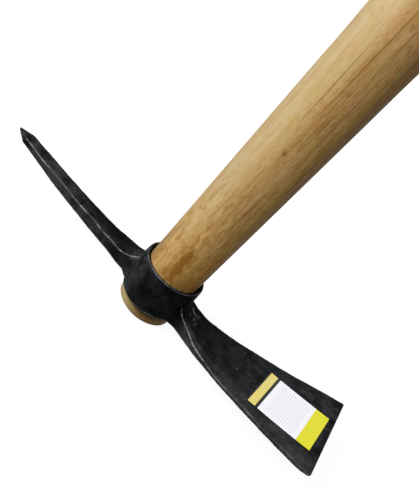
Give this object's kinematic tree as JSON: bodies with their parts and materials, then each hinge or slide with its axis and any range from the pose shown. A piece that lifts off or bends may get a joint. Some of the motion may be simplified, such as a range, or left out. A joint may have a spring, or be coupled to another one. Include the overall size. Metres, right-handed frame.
{
  "type": "pick mattock",
  "caption": "Small forged mattock head with a pointed pick and a fanned adze blade, wedged on a long round wooden handle, for breaking and pulling soil.",
  "frame": {"origin": "middle of the handle's flat lower end, on the handle's axis", "axes": "+Z along the handle from the head to the grip's end, +X from the axis towards the blade, +Y across the blade"},
  "size_m": [0.2627, 0.0788, 0.9],
  "materials": {
    "head": "satin black paint on forged steel",
    "handle": "smooth turned hardwood, lightly lacquered",
    "wood_wedge": "sawn hardwood",
    "steel_wedge": "plain steel"
  },
  "bodies": {
    "root": {"head": "head", "handle": "handle", "wood_wedge": "wood_wedge", "steel_wedge": "steel_wedge"}
  },
  "joints": []
}
